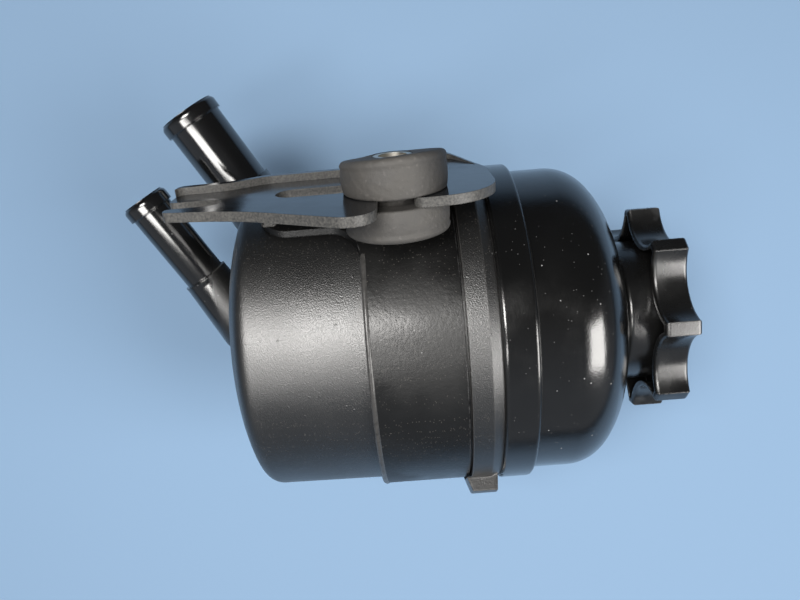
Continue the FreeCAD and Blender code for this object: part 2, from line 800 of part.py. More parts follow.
def make_hem(outline):
    """Edge that is raised along the plate's far side and runs out in a ramp at its upper end."""
    raised = outline.extrude(Vector(-plate_t - hem_h, 0, 0))
    shifted = raised.copy()
    shifted.translate(Vector(0, -hem_w, 0))
    size = outline.BoundBox
    start = on_plate(hem_side_y, hem_end_z)
    high = plate_x - hem_h
    corners = [
        Vector(plate_under_x, start.y, size.ZMin),
        Vector(high, start.y, size.ZMin),
        Vector(high, start.y, start.z - hem_ramp),
        Vector(plate_x, start.y, start.z),
        Vector(plate_under_x, start.y, start.z),
    ]
    corners.append(corners[0])
    ramp = Part.Face(Part.makePolygon(corners)).extrude(Vector(0, size.YLength, 0))
    return raised.cut(shifted).common(ramp)


def turned_on_grommet(points, rounds):
    """Solid of revolution about the grommet's axis of (x, radius) points, with its outer rims rounded."""
    corners = [Vector(x, grommet_y + radius, grommet_z) for x, radius in points]
    corners.append(corners[0])
    face = Part.Face(Part.makePolygon(corners))
    body = face.revolve(Vector(0, grommet_y, grommet_z), Vector(1, 0, 0), 360)
    if rounds > 0:
        ends = (points[0][0], points[-1][0])
        rims = [edge for edge in body.Edges if edge.Closed and abs(edge.Length - 2 * math.pi * grommet_r) < 0.1
                and min(abs(edge.CenterOfMass.x - end) for end in ends) < 0.1]
        body = body.makeFillet(rounds, rims)
    return body


def make_mount_grommet():
    """Rubber grommet: two thick discs on a core that sits in the plate's slot."""
    upper = plate_x - grommet_upper_t
    lower = plate_under_x + grommet_lower_t
    bore = sleeve_r + sleeve_gap
    return turned_on_grommet([
        (upper, bore),
        (upper, grommet_r),
        (plate_x, grommet_r),
        (plate_x, grommet_core_r),
        (plate_under_x, grommet_core_r),
        (plate_under_x, grommet_r),
        (lower, grommet_r),
        (lower, bore),
    ], grommet_round)


def make_grommet_sleeve():
    """Steel sleeve in the grommet, flush with both discs."""
    upper = plate_x - grommet_upper_t
    lower = plate_under_x + grommet_lower_t
    return turned_on_grommet([
        (upper, sleeve_bore_r),
        (upper, sleeve_r),
        (lower, sleeve_r),
        (lower, sleeve_bore_r),
    ], 0)


PIECES = {
    "lower_can": make_lower_can,
    "upper_shell": make_upper_shell,
    "cap_shell": make_cap_shell,
    "cap_plug": make_cap_plug,
    "cap_seal": make_cap_seal,
    "vent_valve": make_vent_valve,
    "dipstick": make_dipstick,
    "filter_base": make_filter_base,
    "filter_media": make_filter_media,
    "filter_core": make_filter_core,
    "filter_top": make_filter_top,
    "filter_seal": make_filter_seal,
    "filter_spring": make_filter_spring,
    "baffle": make_baffle,
    "clamp_band": make_clamp_band,
    "bracket_plate": make_bracket_plate,
    "mount_grommet": make_mount_grommet,
    "grommet_sleeve": make_grommet_sleeve,
    "clamp_screw": make_clamp_screw,
    "clamp_washer": make_clamp_washer,
    "clamp_nut": make_clamp_nut,
}

os.makedirs("parts", exist_ok=True)
for name, make in PIECES.items():
    shape = make()
    shape.translate(mount * -1)
    if not shape.isValid() or len(shape.Solids) != 1:
        print("check", name, "valid", shape.isValid(), "solids", len(shape.Solids))
    print(name, round(shape.Volume), "mm3")
    shape.exportStep(f"parts/{name}.step")
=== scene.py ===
# %% [markdown]
# # A power steering reservoir in its clamp band
#
# The object is a black moulded reservoir with a lobed cap, held by a coated steel band and a bracket plate.
# The measured solids come in as a fixed frame. This lesson gives them their surfaces, adds the fine forms that
# the solids leave out, and sets up camera, light and floor as for a photograph taken from above.

# %% Load the frame
import bpy
import json
import math
import numpy as np
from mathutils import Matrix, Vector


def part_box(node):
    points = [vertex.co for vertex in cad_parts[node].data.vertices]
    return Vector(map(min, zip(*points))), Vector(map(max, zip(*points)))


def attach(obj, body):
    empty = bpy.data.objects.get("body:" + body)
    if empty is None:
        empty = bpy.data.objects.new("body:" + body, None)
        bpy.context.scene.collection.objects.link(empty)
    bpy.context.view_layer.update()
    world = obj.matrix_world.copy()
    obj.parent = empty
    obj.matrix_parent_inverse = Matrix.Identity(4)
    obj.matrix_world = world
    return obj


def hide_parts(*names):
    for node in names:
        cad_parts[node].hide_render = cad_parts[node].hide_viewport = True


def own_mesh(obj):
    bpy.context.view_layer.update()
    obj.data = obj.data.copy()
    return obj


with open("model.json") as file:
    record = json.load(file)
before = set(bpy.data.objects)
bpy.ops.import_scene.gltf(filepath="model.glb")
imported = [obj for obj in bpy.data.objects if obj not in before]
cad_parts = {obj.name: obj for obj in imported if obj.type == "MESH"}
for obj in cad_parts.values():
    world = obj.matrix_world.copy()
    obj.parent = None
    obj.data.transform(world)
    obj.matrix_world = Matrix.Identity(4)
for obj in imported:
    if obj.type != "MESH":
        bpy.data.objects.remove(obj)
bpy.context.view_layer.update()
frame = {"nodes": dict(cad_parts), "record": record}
nodes = frame["nodes"]
MM = 0.001
TURN = 2 * math.pi
print("solids:", len(nodes))

# %% [markdown]
# ## Where things are
#
# Added pieces have to sit on the solids to a tenth of a millimetre. Their places could be typed in as numbers,
# but reading them from the boxes of the solids keeps both in step. The frame's origin is the middle of the
# grommet at the outer face of the bracket plate. The reservoir's axis is the middle of the cap's plug, and the
# underside of the can's flange is three millimetres below the baffle.

# %% Axis, heights and faces
def low_corner(node):
    """Lowest corner of a solid's box, as an array."""
    return np.array(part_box(node)[0])

def high_corner(node):
    """Highest corner of a solid's box, as an array."""
    return np.array(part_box(node)[1])

def middle(node):
    """Centre of a solid's box: half the sum of its two corners."""
    return (low_corner(node) + high_corner(node)) / 2

AXIS = np.array([middle("cap_plug")[0], middle("cap_plug")[1], 0.0])
LEDGE_HEIGHT = 3.0 * MM
FLANGE_Z = low_corner("baffle")[2] - LEDGE_HEIGHT
NECK_TOP = low_corner("cap_seal")[2]
BAND_R = high_corner("clamp_band")[0] - AXIS[0]
BAND_WIDTH = 23.8 * MM
BAND_TOP = high_corner("clamp_band")[2]
BAND_BOTTOM = BAND_TOP - BAND_WIDTH
SADDLE_LOW = low_corner("clamp_band")[2]
print("axis at", AXIS.round(5), "flange at", round(FLANGE_Z, 5), "band radius", round(BAND_R, 5))

# %% [markdown]
# ## Camera
#
# The photograph is taken from close by with a short lens, so the near pieces look large. A long lens from far
# away would give the same size but flatten the can. The camera stands 200 mm from the axis, and its picture is
# turned a quarter, so that the reservoir's axis runs across it. Its three directions were found by laying the
# outlines of the solids over those of the photograph.

# %% Camera
CAMERA_PLACE = AXIS + np.array([-0.082067, -0.184326, FLANGE_Z - 0.0122])
PICTURE_RIGHT = np.array([0.08038, -0.01015, 0.99671])
PICTURE_DOWN = np.array([0.92582, -0.36974, -0.07843])
PICTURE_DEPTH = np.array([0.36932, 0.92908, -0.02032])
SENSOR_WIDTH = 36.0
FOCAL_LENGTH = 29.7
NEAREST = 5 * MM

def stand(obj, place, right, down, depth):
    """Puts a camera or lamp at place; its own X, Y and Z are the picture's right, up and back."""
    turn = np.eye(4)
    turn[:3, 0] = right
    turn[:3, 1] = -down
    turn[:3, 2] = -depth
    turn[:3, 3] = place
    obj.matrix_world = [list(row) for row in turn.T]

def link(name, data):
    """Makes an object for the data and shows it in the scene."""
    obj = bpy.data.objects.new(name, data)
    bpy.context.scene.collection.objects.link(obj)
    return obj

camera_data = bpy.data.cameras.new("photo_camera")
camera_data.sensor_width = SENSOR_WIDTH
camera_data.lens = FOCAL_LENGTH
camera_data.clip_start = NEAREST
camera = link("photo_camera", camera_data)
stand(camera, CAMERA_PLACE, PICTURE_RIGHT, PICTURE_DOWN, PICTURE_DEPTH)
bpy.context.scene.camera = camera
bpy.context.scene.view_settings.view_transform = "Standard"
print("camera", round(float(np.linalg.norm((CAMERA_PLACE - AXIS)[:2])), 3), "m from the axis")

# %% [markdown]
# ## Floor
#
# The floor is one large square behind the object, as seen from the camera. A plain square would hide the object
# when it is looked at from the other side, so its material is see-through on the back: the geometry node tells
# which side a ray has met, and mixes a dull blue with a clear surface.

# %% Floor
def material(name):
    """A new node material with its tree emptied, and its output node."""
    made = bpy.data.materials.new(name)
    made.use_nodes = True
    made.node_tree.nodes.clear()
    output = made.node_tree.nodes.new("ShaderNodeOutputMaterial")
    return made, made.node_tree, output

FLOOR_DEPTH = 0.262
FLOOR_HALF = 3.0
FLOOR_COLOUR = (0.18, 0.27, 0.39)
floor_mid = CAMERA_PLACE + FLOOR_DEPTH * PICTURE_DEPTH
corners = [floor_mid + FLOOR_HALF * (a * PICTURE_RIGHT + b * PICTURE_DOWN)
           for a, b in ((-1, 1), (1, 1), (1, -1), (-1, -1))]
floor_mesh = bpy.data.meshes.new("floor")
floor_mesh.from_pydata([tuple(c) for c in corners], [], [(0, 1, 2, 3)])
floor = link("floor", floor_mesh)
floor_look, tree, output = material("pale floor")
diffuse = tree.nodes.new("ShaderNodeBsdfDiffuse")
diffuse.inputs["Color"].default_value = (*FLOOR_COLOUR, 1)
clear = tree.nodes.new("ShaderNodeBsdfTransparent")
side = tree.nodes.new("ShaderNodeNewGeometry")
mix = tree.nodes.new("ShaderNodeMixShader")
tree.links.new(side.outputs["Backfacing"], mix.inputs["Fac"])
tree.links.new(diffuse.outputs[0], mix.inputs[1])
tree.links.new(clear.outputs[0], mix.inputs[2])
tree.links.new(mix.outputs[0], output.inputs["Surface"])
floor_mesh.materials.append(floor_look)
print("floor", 2 * FLOOR_HALF, "m wide,", FLOOR_DEPTH, "m in front of the camera")

# %% [markdown]
# ## Lamps
#
# Black plastic shows its lamps as mirror images, so the lamps draw the shape. The photograph has no shadow beside
# the object, so the key lamp stands behind the camera, a little to its left: that also puts the line of sheen on
# the can and lets it fade towards the dome. A soft box on the right is mirrored in the dome's shoulder and in the
# cap, and a weak, tilted lamp draws the highlights along the hose stubs. Area lamps are used, because a point
# lamp or a sun would leave hard dots on the gloss.

# %% Lamps
LAMP_COLOUR = (1.0, 0.98, 0.95)

def in_picture(right, down, towards):
    """A place given in the picture's own directions from the middle of the can, in metres."""
    return AXIS + right * PICTURE_RIGHT + down * PICTURE_DOWN - towards * PICTURE_DEPTH

CAN_MIDDLE = in_picture(0, 0, 0)

def area_lamp(name, place, width, length, watts, lift=0.0):
    """A rectangular lamp that shines on the can; its length runs to the picture's right and by lift up."""
    data = bpy.data.lights.new(name, "AREA")
    data.shape = "RECTANGLE"
    data.size = width
    data.size_y = length
    data.energy = watts
    data.color = LAMP_COLOUR
    depth = (CAN_MIDDLE - place) / np.linalg.norm(CAN_MIDDLE - place)
    right = np.cross(depth, PICTURE_RIGHT - lift * PICTURE_DOWN)
    right /= np.linalg.norm(right)
    stand(link(name, data), place, right, np.cross(depth, right), depth)
    print(name, watts, "W")

area_lamp("key_lamp", in_picture(-0.16, -0.04, 0.60), 0.16, 0.28, 4.6)
area_lamp("soft_box", in_picture(0.50, 0.20, 0.50), 0.38, 0.40, 6.0)
area_lamp("stub_lamp", in_picture(-0.154, 0.226, 0.575), 0.09, 0.34, 1.6, lift=0.45)

# %% [markdown]
# ## World
#
# The world fills what the lamps leave. An even grey would wash out the dark top of the can, so its strength is a
# soft gradient along one direction: paler towards the bottom of the picture and nearly black above it.

# %% World
SKY_COLOUR = (0.80, 0.88, 1.0)
SKY_DIRECTION = 0.85 * PICTURE_DOWN + 0.5 * PICTURE_DEPTH
SKY_RAMP = {"From Min": -0.55, "From Max": 0.35, "To Min": 0.03, "To Max": 0.35}
world = bpy.data.worlds.new("studio")
world.use_nodes = True
tree = world.node_tree
background = tree.nodes["Background"]
background.inputs["Color"].default_value = (*SKY_COLOUR, 1)
direction = tree.nodes.new("ShaderNodeTexCoord")
along = tree.nodes.new("ShaderNodeVectorMath")
along.operation = "DOT_PRODUCT"
along.inputs[1].default_value = tuple(SKY_DIRECTION)
spread = tree.nodes.new("ShaderNodeMapRange")
for socket, value in SKY_RAMP.items():
    spread.inputs[socket].default_value = value
tree.links.new(direction.outputs["Generated"], along.inputs[0])
tree.links.new(along.outputs["Value"], spread.inputs["Value"])
tree.links.new(spread.outputs["Result"], background.inputs["Strength"])
bpy.context.scene.world = world
print("world strength from", SKY_RAMP["To Min"], "to", SKY_RAMP["To Max"])

# %% [markdown]
# ## Surfaces
#
# Every surface is one Principled shader whose colour, roughness and relief come from noise. Pictures could be
# laid on instead, but noise on the piece's own Object coordinates has no seams and needs no unwrapping. The
# masks below are numbers from 0 to 1 that say where a layer lies. Sharp edges get a small round in the shading,
# because moulded and coated edges are never sharp.

# %% A surface that is put together step by step
EDGE_STARTS = 0.99
EDGE_FULL = 0.90
SPECK_CORE = 0.6

class Look:
    """A material round one Principled shader, to which grain, specks and wear are added."""

    def __init__(self, name, colour, roughness, edge, metallic=0.0, sheen=0.5):
        """Starts from an even colour; edge is the round in the shading in millimetres, sheen scales the gloss."""
        self.made, self.tree, output = material(name)
        self.place = self.node("ShaderNodeTexCoord").outputs["Object"]
        self.shader = self.node("ShaderNodeBsdfPrincipled", {
            "Base Color": (*colour, 1), "Roughness": roughness, "Metallic": metallic,
            "Specular IOR Level": sheen})
        self.colour = (*colour, 1)
        self.roughness = roughness
        self.normal = self.node("ShaderNodeBevel", {"Radius": edge * MM}).outputs["Normal"]
        self.tree.links.new(self.normal, self.shader.inputs["Normal"])
        self.tree.links.new(self.shader.outputs[0], output.inputs["Surface"])

    def node(self, kind, inputs=(), **settings):
        """Adds a node, with its settings and with a value or a link for each named input."""
        made = self.tree.nodes.new(kind)
        for key, value in settings.items():
            setattr(made, key, value)
        for key, value in dict(inputs).items():
            if isinstance(value, bpy.types.NodeSocket):
                self.tree.links.new(value, made.inputs[key])
            else:
                made.inputs[key].default_value = value
        return made

    def noise(self, size, detail):
        """Noise from 0 to 1 with features of that size in millimetres; detail is the number of finer layers."""
        return self.node("ShaderNodeTexNoise", {
            "Vector": self.place, "Scale": 1 / (size * MM), "Detail": detail}).outputs["Fac"]

    def step(self, value, low, high, start=0.0, end=1.0):
        """Straight line from start at low to end at high, held level outside them."""
        return self.node("ShaderNodeMapRange", {
            "Value": value, "From Min": low, "From Max": high,
            "To Min": start, "To Max": end}).outputs["Result"]

    def clouds(self, size, detail, low, high, most=1.0):
        """Patches of noise: 0 where the noise is below low, and most where it is above high."""
        return self.step(self.noise(size, detail), low, high, 0.0, most)

    def both(self, first, second):
        """Product of two masks."""
        return self.node("ShaderNodeMath", {0: first, 1: second}, operation="MULTIPLY").outputs[0]

    def outside(self, mask):
        """One minus a mask."""
        return self.step(mask, 1.0, 0.0)

    def dot(self, first, second):
        """Dot product of two directions, or of a place and a direction."""
        return self.node("ShaderNodeVectorMath", {0: first, 1: second}, operation="DOT_PRODUCT").outputs["Value"]

    def specks(self, size, share, radius=0.3):
        """Small round specks, one in each lucky cell of that size; share is the part of lucky cells."""
        cells = self.node("ShaderNodeTexVoronoi", {"Vector": self.place, "Scale": 1 / (size * MM)})
        inside = self.step(cells.outputs["Distance"], radius, SPECK_CORE * radius)
        lucky = self.node("ShaderNodeMath", {0: cells.outputs["Color"], 1: 1 - share}, operation="GREATER_THAN")
        return self.both(inside, lucky.outputs[0])

    def facing(self, axis, low, high):
        """Faces that point along an axis either way: 0 where the cosine is low, and 1 where it is high."""
        cosine = self.dot(self.node("ShaderNodeNewGeometry").outputs["Normal"], axis)
        size = self.node("ShaderNodeMath", {0: cosine}, operation="ABSOLUTE").outputs[0]
        return self.step(size, low, high)

    def beyond(self, direction, near, far):
        """Places further than far along a direction of the frame, in metres; 0 before near."""
        return self.step(self.dot(self.place, direction), near, far)

    def edges(self, width):
        """Places within about that width, in millimetres, of an edge: there the rounded normal leans away."""
        soft = self.node("ShaderNodeBevel", {"Radius": width * MM}).outputs["Normal"]
        sharp = self.node("ShaderNodeNewGeometry").outputs["Normal"]
        return self.step(self.dot(soft, sharp), EDGE_STARTS, EDGE_FULL)

    def paint(self, mask, colour):
        """Lays a colour over the surface where the mask is set."""
        mixed = self.node("ShaderNodeMix", {"Factor": mask, 6: self.colour, 7: (*colour, 1)}, data_type="RGBA")
        self.colour = mixed.outputs[2]
        self.tree.links.new(self.colour, self.shader.inputs["Base Color"])

    def rough(self, mask, roughness):
        """Sets the roughness where the mask is set."""
        mixed = self.node("ShaderNodeMix", {"Factor": mask, 2: self.roughness, 3: roughness}, data_type="FLOAT")
        self.roughness = mixed.outputs[0]
        self.tree.links.new(self.roughness, self.shader.inputs["Roughness"])

    def relief(self, height, depth):
        """Adds bumps of that depth in millimetres."""
        bump = self.node("ShaderNodeBump", {
            "Height": height, "Distance": depth * MM, "Strength": 1.0, "Normal": self.normal})
        self.normal = bump.outputs["Normal"]
        self.tree.links.new(self.normal, self.shader.inputs["Normal"])

def grey(value):
    """A neutral colour."""
    return (value, value, value)

# %% [markdown]
# ### The can
#
# The can is moulded in a coarse, matt plastic with fine pits, but its hose stubs are polished, so that a hose
# seals on them. Two materials on one solid would meet in a hard line. So one material does both: two masks find
# the stubs by their place, and the grain is kept off them. The colour is nearly black, so most of what shows is
# sheen, and the roughness varies in soft clouds.

# %% Can plastic
POLISHED = 0.13
SUCTION_BESIDE = (-5.5 * MM, -4 * MM)
SUCTION_BELOW = (20 * MM, 21 * MM)
RETURN_BELOW = (55 * MM, 57 * MM)
can_look = Look("can plastic", grey(0.004), 0.35, edge=0.6, sheen=1.0)
can_look.rough(can_look.clouds(18, 4, 0.4, 0.65), 0.40)
on_suction = can_look.both(can_look.beyond((-1, 0, 0), *SUCTION_BESIDE),
                           can_look.beyond((0, 0, -1), *SUCTION_BELOW))
on_return = can_look.beyond((0, 0, -1), *RETURN_BELOW)
off_stub = can_look.both(can_look.outside(on_suction), can_look.outside(on_return))
can_look.rough(on_suction, POLISHED)
can_look.rough(on_return, POLISHED)
# Painted highlight: the can's edges, away from the stubs, are coloured lighter.
can_look.paint(can_look.both(off_stub, can_look.edges(0.5)), (0.055, 0.053, 0.050))
can_look.paint(can_look.specks(1.3, 0.10, 0.22), grey(0.06))
can_look.paint(can_look.both(off_stub, can_look.specks(0.5, 0.30, 0.30)), (0.050, 0.047, 0.043))
can_look.relief(can_look.both(off_stub, can_look.noise(0.30, 2)), 0.08)
can_look.relief(can_look.both(off_stub, can_look.specks(1.1, 0.12)), 0.05)
print("can plastic:", len(can_look.tree.nodes), "nodes")

# %% [markdown]
# ### Upper shell and cap
#
# The upper shell and the cap come from polished moulds, so they are smoother than the can. They carry dust as
# two sizes of specks, and their edges are scuffed by hands and tools, which makes them rougher. The shell's
# edges are also coloured lighter as a painted highlight; the cap's lighter edges are partly wear and partly a
# painted highlight. The edge mask compares a rounded normal with the true one, which costs less work than
# painting each edge by hand.

# %% Shell and cap plastic
shell_look = Look("shell plastic", grey(0.003), 0.14, edge=0.5, sheen=0.8)
shell_look.rough(shell_look.clouds(14, 5, 0.42, 0.62), 0.21)
shell_edge = shell_look.edges(0.9)
shell_look.rough(shell_edge, 0.38)
# Painted highlight: the shell's edges are coloured lighter along their whole length.
shell_look.paint(shell_edge, grey(0.025))
shell_look.paint(shell_look.specks(0.8, 0.22, 0.20), grey(0.07))
shell_look.paint(shell_look.specks(1.7, 0.14, 0.14), grey(0.20))
shell_look.relief(shell_look.noise(2.2, 3), 0.015)
shell_look.relief(shell_look.noise(0.4, 2), 0.020)

cap_look = Look("cap plastic", grey(0.004), 0.20, edge=0.5, sheen=0.8)
cap_look.rough(cap_look.clouds(9, 4, 0.40, 0.62), 0.30)
cap_look.paint(cap_look.specks(1.4, 0.12, 0.14), grey(0.12))
cap_look.paint(cap_look.clouds(7, 5, 0.60, 0.80, 0.5), (0.07, 0.072, 0.075))
# Partly wear and partly painted highlight: the cap's edges are coloured lighter in patches.
cap_look.paint(cap_look.both(cap_look.edges(0.7), cap_look.clouds(1.2, 5, 0.36, 0.54)), grey(0.06))
cap_look.relief(cap_look.noise(0.4, 3), 0.020)
print("shell plastic:", len(shell_look.tree.nodes), "nodes; cap plastic:", len(cap_look.tree.nodes), "nodes")

# %% [markdown]
# ### Plastic inside
#
# The pieces inside have never seen weather. An even colour would do for most of them, but with the cap off the
# dipstick is seen from close by. It is pale, so that the oil shows on it, and oil has stained it in patches,
# which are clouds of noise.

# %% Inner plastic and dipstick
inner_look = Look("inner plastic", (0.055, 0.056, 0.058), 0.42, edge=0.3)
inner_look.rough(inner_look.clouds(10, 3, 0.4, 0.6), 0.30)
inner_look.relief(inner_look.noise(0.6, 2), 0.015)

dipstick_look = Look("dipstick plastic", (0.72, 0.69, 0.60), 0.32, edge=0.3)
dipstick_look.paint(dipstick_look.clouds(12, 3, 0.45, 0.75, 0.6), (0.60, 0.50, 0.33))
dipstick_look.relief(dipstick_look.noise(0.8, 2), 0.015)
print("inner plastic:", len(inner_look.tree.nodes), "nodes; dipstick:", len(dipstick_look.tree.nodes), "nodes")

# %% [markdown]
# ### Coated steel
#
# Band and plate are steel under a black coat. A metal shader would be wrong here, because the coat hides the
# metal: both are painted surfaces with wear on top. The band's coat is a little orange-peeled, and its edges are
# lighter in patches, but not on the saddle: partly rubbed off, partly a painted highlight. The plate's is glossy,
# and its sheared edges, which point along the plate, are rougher and worn to a lighter grey.

# %% Coated steel
SADDLE_MASK = (-10.6 * MM, -10.2 * MM)
band_look = Look("band coat", grey(0.004), 0.28, edge=0.4, sheen=0.42)
band_look.rough(band_look.clouds(16, 4, 0.4, 0.62), 0.42)
band_look.paint(band_look.specks(1.7, 0.10, 0.14), grey(0.10))
band_look.paint(band_look.specks(0.5, 0.30, 0.30), (0.045, 0.042, 0.038))
# Partly worn coat and partly painted highlight: the band's edges are coloured lighter in patches.
band_wear_and_highlight = band_look.both(band_look.edges(0.6), band_look.clouds(2.5, 4, 0.40, 0.60))
band_look.paint(band_look.both(band_wear_and_highlight, band_look.beyond((0, 0, 1), *SADDLE_MASK)), grey(0.08))
band_look.relief(band_look.noise(1.0, 3), 0.040)
band_look.relief(band_look.noise(0.4, 2), 0.020)

# The coat bead is coloured lighter than the band's black coat: a painted highlight along the band's edge.
coat_look = Look("coat bead", (0.036, 0.035, 0.034), 0.32, edge=0.2)
coat_look.paint(coat_look.clouds(1.5, 4, 0.45, 0.70, 0.7), (0.014, 0.014, 0.013))
coat_look.relief(coat_look.noise(0.5, 2), 0.03)

plate_look = Look("plate coat", (0.008, 0.009, 0.011), 0.14, edge=0.35, sheen=0.3)
plate_edge = plate_look.facing((1, 0, 0), 0.75, 0.35)
plate_look.rough(plate_look.clouds(12, 4, 0.42, 0.62), 0.21)
plate_look.rough(plate_edge, 0.40)
plate_look.paint(plate_look.both(plate_edge, plate_look.clouds(0.5, 3, 0.15, 0.75)), (0.085, 0.082, 0.076))
plate_look.paint(plate_look.specks(2.0, 0.12, 0.10), (0.12, 0.13, 0.14))
plate_look.relief(plate_look.noise(3.0, 2), 0.030)
plate_look.relief(plate_look.both(plate_edge, plate_look.noise(0.4, 3)), 0.06)
print("band coat:", len(band_look.tree.nodes), "nodes; plate coat:", len(plate_look.tree.nodes), "nodes")

# %% [markdown]
# ### Rubber
#
# The grommet's rubber is weathered to a grey-brown with darker smears, and the end of its outer disc that lies
# away from the light is darker: painted shade. One even grey would look like putty, so noise in three sizes
# makes the bloom, the pale patches and the specks, and the shaded end is found by its place. The seals inside
# are still black.

# %% Rubber
SHADED_END = (4 * MM, 11 * MM)
grommet_look = Look("grommet rubber", (0.046, 0.043, 0.039), 0.68, edge=0.5)
grommet_look.paint(grommet_look.clouds(5, 5, 0.40, 0.66, 0.8), (0.040, 0.038, 0.036))
grommet_look.paint(grommet_look.clouds(1.1, 4, 0.60, 0.80, 0.5), (0.11, 0.10, 0.095))
grommet_look.paint(grommet_look.specks(1.2, 0.08, 0.2), (0.035, 0.032, 0.030))
# Painted shade: the outer disc's end away from the light is coloured darker.
grommet_look.paint(grommet_look.both(grommet_look.beyond((0, 0, 1), *SHADED_END),
                                     grommet_look.beyond((-1, 0, 0), 0, MM)), (0.012, 0.011, 0.010))
grommet_look.relief(grommet_look.noise(1.6, 4), 0.20)
grommet_look.relief(grommet_look.noise(0.3, 2), 0.02)

seal_look = Look("seal rubber", grey(0.020), 0.55, edge=0.2)
seal_look.rough(seal_look.noise(6, 3), 0.42)
seal_look.relief(seal_look.noise(0.5, 2), 0.02)
print("grommet rubber:", len(grommet_look.tree.nodes), "nodes; seal rubber:", len(seal_look.tree.nodes), "nodes")

# %% [markdown]
# ### Bare metal and paper
#
# Screw, washer, nut, sleeve and spring are plated steel with a dull bloom. The filter's end caps are pressed tin
# plate, and its medium is paper in folds, stained by oil. A grey paint would look dead beside the coated steel:
# here the metal itself shows, so Metallic is 1 and the colour is that of its mirror image.

# %% Plated steel, tin plate and paper
zinc_look = Look("zinc steel", (0.50, 0.48, 0.43), 0.34, metallic=1.0, edge=0.15)
zinc_look.rough(zinc_look.clouds(2.5, 4, 0.4, 0.65), 0.50)
zinc_look.paint(zinc_look.clouds(3.5, 5, 0.56, 0.78, 0.7), (0.30, 0.27, 0.22))
zinc_look.relief(zinc_look.noise(0.4, 3), 0.012)

tin_look = Look("tin plate", (0.62, 0.62, 0.60), 0.28, metallic=1.0, edge=0.2)
tin_look.rough(tin_look.clouds(8, 3, 0.4, 0.6), 0.38)
tin_look.relief(tin_look.noise(1.5, 2), 0.012)

paper_look = Look("filter paper", (0.70, 0.56, 0.33), 0.85, edge=0.1)
paper_look.paint(paper_look.clouds(4, 4, 0.45, 0.7, 0.5), (0.52, 0.37, 0.18))
paper_look.relief(paper_look.noise(0.25, 3), 0.03)
print("zinc steel:", len(zinc_look.tree.nodes), "nodes; tin plate:", len(tin_look.tree.nodes), "nodes")

# %% [markdown]
# ### Dressing the solids
#
# The record names a material slot for each solid. Surfaces could be handed out solid by solid, but the slots
# already say which solids are of one material. Each solid gets the surface of its slot, and its mesh stays as
# it is.

# %% Surfaces for all solids
LOOKS = {
    "can_plastic": can_look, "shell_plastic": shell_look, "cap_plastic": cap_look,
    "inner_plastic": inner_look, "dipstick_plastic": dipstick_look, "band_coat": band_look,
    "plate_coat": plate_look, "grommet_rubber": grommet_look, "seal_rubber": seal_look,
    "zinc_steel": zinc_look, "tin_plate": tin_look, "filter_paper": paper_look, "coat_bead": coat_look,
}

def wear(obj, look_name):
    """Gives a piece or a solid one of the surfaces."""
    obj.data.materials.clear()
    obj.data.materials.append(LOOKS[look_name].made)

SLOTS = {part["node"]: part["material_slot"] for part in frame["record"]["subparts"]}
for node_name, slot_name in SLOTS.items():
    wear(nodes[node_name], slot_name)
print("slots in use:", len(set(SLOTS.values())))

# %% [markdown]
# ## Pieces built as grids
#
# The fine forms could be sculpted, or turned and swept with modifiers. Here each is a grid of points worked out
# with numpy, because then its formula is the whole story: a grid closed one way is a tube, and closed both ways
# it is a ring. Faces point to the side from which columns run to the right and rows run up.

# %% Grid pieces
def grid_piece(name, points, close_rows, close_columns, body, slot_name):
    """Mesh of a (rows, columns, 3) array of points, with one face for each four neighbours; rides on a body."""
    rows, columns = points.shape[:2]
    index = np.arange(rows * columns).reshape(rows, columns)
    if close_rows:
        index = np.vstack([index, index[:1]])
    if close_columns:
        index = np.hstack([index, index[:, :1]])
    quads = np.stack([index[:-1, :-1], index[:-1, 1:], index[1:, 1:], index[1:, :-1]], axis=-1).reshape(-1, 4)
    mesh = bpy.data.meshes.new(name)
    mesh.vertices.add(rows * columns)
    mesh.vertices.foreach_set("co", points.reshape(-1))
    mesh.loops.add(quads.size)
    mesh.loops.foreach_set("vertex_index", quads.reshape(-1))
    mesh.polygons.add(len(quads))
    mesh.polygons.foreach_set("loop_start", np.arange(len(quads)) * 4)
    mesh.polygons.foreach_set("use_smooth", np.ones(len(quads), dtype=bool))
    mesh.update(calc_edges=True)
    mesh.validate()
    obj = link(name, mesh)
    wear(obj, slot_name)
    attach(obj, body)
    print(name, "has", len(quads), "faces")
    return obj

def round_axis(radius, angle, height):
    """Points at a radius and an angle about the reservoir's axis, at a height."""
    return np.stack([AXIS[0] + radius * np.cos(angle), AXIS[1] + radius * np.sin(angle),
                     height + 0 * angle], axis=-1)

# %% [markdown]
# ### The grommet
#
# A rubber grommet that carries a weight never sits quite square. In the photograph the near side of its outer
# disc stands higher than the far side. A turned solid can't show that, and bending one afterwards would also bend
# the faces that lie on the plate. So the piece is a turned profile whose outer face leans, while the faces
# against the plate and the whole lower disc stay square. The side walls belly out slightly, and the outer face
# stands a little proud of the sleeve's end.

# %% Profile of a grommet disc
rubber_low = low_corner("mount_grommet")
rubber_high = high_corner("mount_grommet")
DISC_R = (rubber_high[1] - rubber_low[1]) / 2
PLATE_T = 2.3 * MM
CORE_R = 6.3 * MM
SLEEVE_GAP = 0.05 * MM
BORE_R = high_corner("grommet_sleeve")[1] + SLEEVE_GAP
RIM_ROUND = 1.4 * MM
FOOT_ROUND = 0.5 * MM
BELLY = 0.25 * MM

